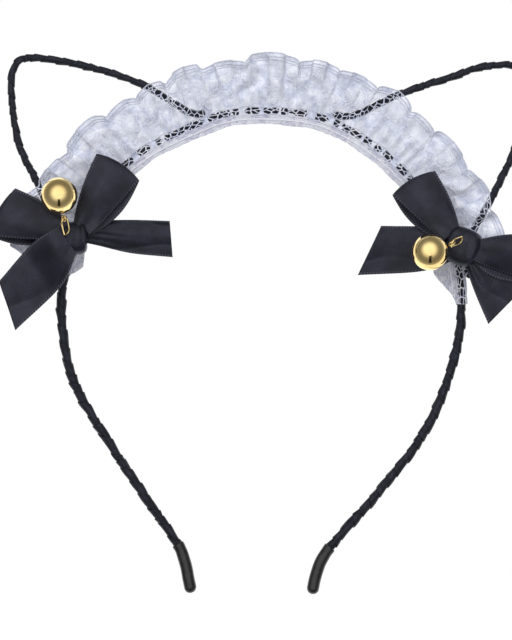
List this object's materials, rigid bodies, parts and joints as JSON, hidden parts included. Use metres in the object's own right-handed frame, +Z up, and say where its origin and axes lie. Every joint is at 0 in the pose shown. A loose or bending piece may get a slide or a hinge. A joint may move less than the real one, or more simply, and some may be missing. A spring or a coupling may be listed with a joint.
{
  "type": "cat-ear costume headband",
  "caption": "Springy ribbon-wrapped wire headband with wire cat ears, gathered lace trim, satin bows and jingle bells; legs flex apart to fit over the head.",
  "frame": {"origin": "where the crown of the head meets the lace edge under the middle of the arch, in the plane of the wires", "axes": "+X across the head, -Y the front with the lace, bows and bells, +Z up through the crown; the legs hang down along -Z"},
  "size_m": [0.186, 0.0286, 0.187],
  "materials": {
    "spring_steel": "drawn spring wire",
    "wrap_ribbon": "narrow black satin ribbon wound tightly, faint sheen",
    "lace": "white net lace with corded floral figures, faint lavender cast",
    "white_thread": "twisted cotton sewing thread",
    "black_thread": "twisted polyester sewing thread",
    "satin_ribbon": "black satin with woven edges, blue-grey sheen",
    "cap_rubber": "glossy dipped black plastic",
    "gold_brass": "polished gold-coloured brass",
    "pellet_steel": "plain steel ball"
  },
  "bodies": {
    "crown": {"crown_wire": "spring_steel", "crown_ribbon_wrap": "wrap_ribbon", "left_ear_wire": "spring_steel", "left_ear_ribbon_wrap": "wrap_ribbon", "left_ear_inner_binding": "wrap_ribbon", "left_ear_outer_binding": "wrap_ribbon", "right_ear_wire": "spring_steel", "right_ear_ribbon_wrap": "wrap_ribbon", "right_ear_inner_binding": "wrap_ribbon", "right_ear_outer_binding": "wrap_ribbon", "lace_trim": "lace", "gathering_thread": "white_thread", "left_bow_inner_loop": "satin_ribbon", "left_bow_outer_loop": "satin_ribbon", "left_bow_inner_tail": "satin_ribbon", "left_bow_outer_tail": "satin_ribbon", "left_bow_knot": "satin_ribbon", "left_bow_stitch": "black_thread", "right_bow_inner_loop": "satin_ribbon", "right_bow_outer_loop": "satin_ribbon", "right_bow_inner_tail": "satin_ribbon", "right_bow_outer_tail": "satin_ribbon", "right_bow_knot": "satin_ribbon", "right_bow_stitch": "black_thread", "left_bell_thread": "black_thread", "right_bell_thread": "black_thread"},
    "left_leg": {"left_leg_wire": "spring_steel", "left_leg_ribbon_wrap": "wrap_ribbon", "left_end_cap": "cap_rubber"},
    "right_leg": {"right_leg_wire": "spring_steel", "right_leg_ribbon_wrap": "wrap_ribbon", "right_end_cap": "cap_rubber"},
    "left_ring": {"left_jump_ring": "gold_brass"},
    "left_bell": {"left_bell_shank": "gold_brass", "left_bell_upper_shell": "gold_brass", "left_bell_lower_shell": "gold_brass"},
    "left_pellet": {"left_bell_pellet": "pellet_steel"},
    "right_ring": {"right_jump_ring": "gold_brass"},
    "right_bell": {"right_bell_shank": "gold_brass", "right_bell_upper_shell": "gold_brass", "right_bell_lower_shell": "gold_brass"},
    "right_pellet": {"right_bell_pellet": "pellet_steel"}
  },
  "joints": [
    {"name": "left_leg_flex", "type": "hinge", "parent": "crown", "child": "left_leg", "pos_m": [-0.06944, 0, -0.06421], "axis": [0, 1, 0], "range_deg": [-6, 24], "stiffness_Nm_per_rad": 0.25},
    {"name": "right_leg_flex", "type": "hinge", "parent": "crown", "child": "right_leg", "pos_m": [0.06857, 0, -0.07017], "axis": [0, -1, 0], "range_deg": [-6, 24], "stiffness_Nm_per_rad": 0.25},
    {"name": "left_ring_swing", "type": "hinge", "parent": "crown", "child": "left_ring", "pos_m": [-0.0672, -0.016, -0.0372], "axis": [0, -1, 0], "range_deg": [-100, 200]},
    {"name": "left_bell_swing", "type": "hinge", "parent": "left_ring", "child": "left_bell", "pos_m": [-0.06797, -0.02, -0.03324], "axis": [0.5988, 0.502, 0.6241], "range_deg": [0, 60]},
    {"name": "left_pellet_roll", "type": "slide", "parent": "left_bell", "child": "left_pellet", "axis": [-0.1913, 0, 0.9815], "range_m": [-0.0038, 0.0038]},
    {"name": "right_ring_swing", "type": "hinge", "parent": "crown", "child": "right_ring", "pos_m": [0.0677, -0.016, -0.0408], "axis": [0, -1, 0], "range_deg": [-100, 160]},
    {"name": "right_bell_swing", "type": "hinge", "parent": "right_ring", "child": "right_bell", "pos_m": [0.06494, -0.02, -0.04188], "axis": [0.2706, -0.4212, 0.8657], "range_deg": [0, 60]},
    {"name": "right_pellet_roll", "type": "slide", "parent": "right_bell", "child": "right_pellet", "axis": [-0.931, 0, -0.3651], "range_m": [-0.0038, 0.0038]}
  ]
}
